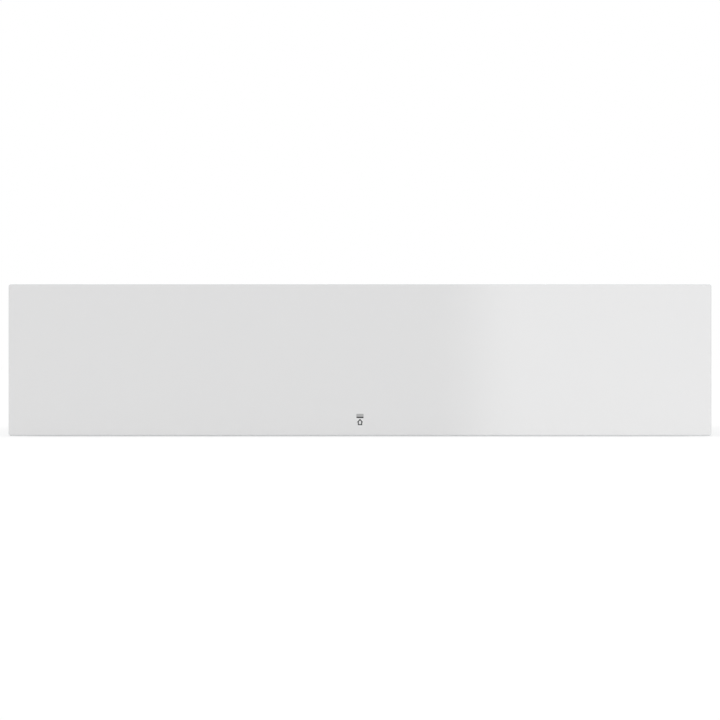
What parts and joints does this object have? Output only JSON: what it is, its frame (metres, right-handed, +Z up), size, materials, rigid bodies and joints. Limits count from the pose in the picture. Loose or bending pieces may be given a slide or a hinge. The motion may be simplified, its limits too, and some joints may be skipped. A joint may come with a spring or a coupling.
{
  "type": "vacuum sealing drawer",
  "caption": "Built-in drawer with a plain glass front, a steel vacuum chamber under a hinged glass lid, a heated sealing bar, and its pump and electrics behind the chamber.",
  "frame": {"origin": "bottom centre of the whole drawer unit, on the niche floor", "axes": "+X to the right along the front, +Y towards the back (the front faces -Y), +Z up"},
  "size_m": [0.596, 0.55, 0.129],
  "materials": {
    "galvanised": "zinc-coated sheet, fine spangle",
    "white_glass": "polished glass, back-painted pale grey-white",
    "frame_steel": "satin powder coat",
    "stainless": "brushed stainless steel",
    "runner_steel": "bright zinc plate",
    "ball_steel": "polished balls in a formed cage",
    "fastener": "zinc-plated screws and rivets",
    "glide_plastic": "moulded black plastic",
    "latch_plastic": "moulded dark plastic",
    "inlet_plastic": "moulded black plastic",
    "contact_brass": "plated contact pins",
    "plunger_steel": "ground steel",
    "black_glass": "polished black glass",
    "circuit_board": "solder-masked board with parts",
    "gasket_rubber": "grey silicone",
    "brass_fitting": "turned brass",
    "cylinder_alloy": "turned aluminium",
    "hinge_steel": "satin stainless steel",
    "valve_alloy": "milled aluminium",
    "coil_plastic": "moulded black plastic",
    "hose_silicone": "silicone hose",
    "cast_alloy": "cast and blasted aluminium",
    "lamination": "stacked steel laminations",
    "winding_copper": "enamelled copper windings",
    "shaft_steel": "turned steel",
    "fan_plastic": "moulded plastic",
    "buffer_rubber": "black rubber",
    "tape_yellow": "taped toroid winding",
    "clear_glass": "clear toughened glass",
    "bar_aluminium": "satin anodised aluminium",
    "strip_silicone": "red-brown silicone strip",
    "seal_tape": "brown coated glass-cloth tape over the heating wires"
  },
  "bodies": {
    "housing": {"housing_base": "galvanised", "housing_side_left": "galvanised", "housing_side_right": "galvanised", "housing_rear": "galvanised", "housing_glides": "glide_plastic", "runner_outer_left": "runner_steel", "runner_outer_right": "runner_steel", "housing_fixings": "fastener", "latch_body": "latch_plastic", "mains_inlet": "inlet_plastic", "inlet_pins": "contact_brass"},
    "plunger": {"latch_plunger": "plunger_steel"},
    "runner_left": {"runner_middle_left": "runner_steel"},
    "runner_right": {"runner_middle_right": "runner_steel"},
    "outer_balls_left": {"outer_cage_left": "ball_steel"},
    "outer_balls_right": {"outer_cage_right": "ball_steel"},
    "inner_balls_left": {"inner_cage_left": "ball_steel"},
    "inner_balls_right": {"inner_cage_right": "ball_steel"},
    "drawer": {"drawer_tray": "galvanised", "runner_inner_left": "runner_steel", "runner_inner_right": "runner_steel", "front_glass": "white_glass", "front_frame": "frame_steel", "front_brackets": "galvanised", "drawer_screws": "fastener", "deck": "stainless", "touch_glass": "black_glass", "control_board": "circuit_board", "chamber_tub": "stainless", "chamber_gasket": "gasket_rubber", "suction_port": "brass_fitting", "seal_cylinders": "cylinder_alloy", "hinge_brackets": "hinge_steel", "hinge_pins": "plunger_steel", "strike_plate": "fastener", "valve_block": "valve_alloy", "valve_coil": "coil_plastic", "suction_hose": "hose_silicone", "pump_hose": "hose_silicone", "pump_body": "cast_alloy", "motor_stator": "lamination", "motor_windings": "winding_copper", "motor_end_bells": "cast_alloy", "motor_bolts": "fastener", "motor_bearings": "shaft_steel", "pump_bracket": "galvanised", "rubber_buffers": "buffer_rubber", "transformer": "tape_yellow", "power_board": "circuit_board"},
    "lid": {"lid_glass": "clear_glass", "hinge_arms": "hinge_steel", "counter_bar": "bar_aluminium", "counter_strip": "strip_silicone", "lid_grip": "stainless"},
    "seal_lift": {"seal_bar": "bar_aluminium", "seal_band": "seal_tape", "lift_pistons": "plunger_steel"},
    "clamp": {"bag_clamp": "stainless"},
    "motor": {"motor_rotor": "shaft_steel", "cooling_fan": "fan_plastic"}
  },
  "joints": [
    {"name": "press", "type": "slide", "parent": "housing", "child": "plunger", "axis": [0, -1, 0], "range_m": [-0.003, 0.01], "stiffness_N_per_m": 900},
    {"name": "drawer_slide", "type": "slide", "parent": "plunger", "child": "drawer", "axis": [0, -1, 0], "range_m": [0, 0.45]},
    {"name": "lid_hinge", "type": "hinge", "parent": "drawer", "child": "lid", "pos_m": [0, 0.169, 0.1183], "axis": [-1, 0, 0], "range_deg": [0, 78]},
    {"name": "seal_lift", "type": "slide", "parent": "drawer", "child": "seal_lift", "axis": [0, 0, 1], "range_m": [0, 0.0075]},
    {"name": "clamp_hinge", "type": "hinge", "parent": "drawer", "child": "clamp", "pos_m": [0, -0.159, 0.0935], "axis": [1, 0, 0], "range_deg": [0, 70]},
    {"name": "motor_spin", "type": "hinge", "parent": "drawer", "child": "motor", "pos_m": [0, 0.18515, 0.062], "axis": [1, 0, 0], "continuous": true},
    {"name": "runner_left_slide", "type": "slide", "parent": "housing", "child": "runner_left", "axis": [0, -1, 0], "range_m": [0, 0.225]},
    {"name": "outer_balls_left_slide", "type": "slide", "parent": "housing", "child": "outer_balls_left", "axis": [0, -1, 0], "range_m": [0, 0.1125]},
    {"name": "inner_balls_left_slide", "type": "slide", "parent": "housing", "child": "inner_balls_left", "axis": [0, -1, 0], "range_m": [0, 0.3375]},
    {"name": "runner_right_slide", "type": "slide", "parent": "housing", "child": "runner_right", "axis": [0, -1, 0], "range_m": [0, 0.225]},
    {"name": "outer_balls_right_slide", "type": "slide", "parent": "housing", "child": "outer_balls_right", "axis": [0, -1, 0], "range_m": [0, 0.1125]},
    {"name": "inner_balls_right_slide", "type": "slide", "parent": "housing", "child": "inner_balls_right", "axis": [0, -1, 0], "range_m": [0, 0.3375]}
  ],
  "couplings": [
    {"joint": "runner_left_slide", "follows": "drawer_slide", "ratio": 0.5},
    {"joint": "outer_balls_left_slide", "follows": "drawer_slide", "ratio": 0.25},
    {"joint": "inner_balls_left_slide", "follows": "drawer_slide", "ratio": 0.75},
    {"joint": "runner_right_slide", "follows": "drawer_slide", "ratio": 0.5},
    {"joint": "outer_balls_right_slide", "follows": "drawer_slide", "ratio": 0.25},
    {"joint": "inner_balls_right_slide", "follows": "drawer_slide", "ratio": 0.75}
  ]
}
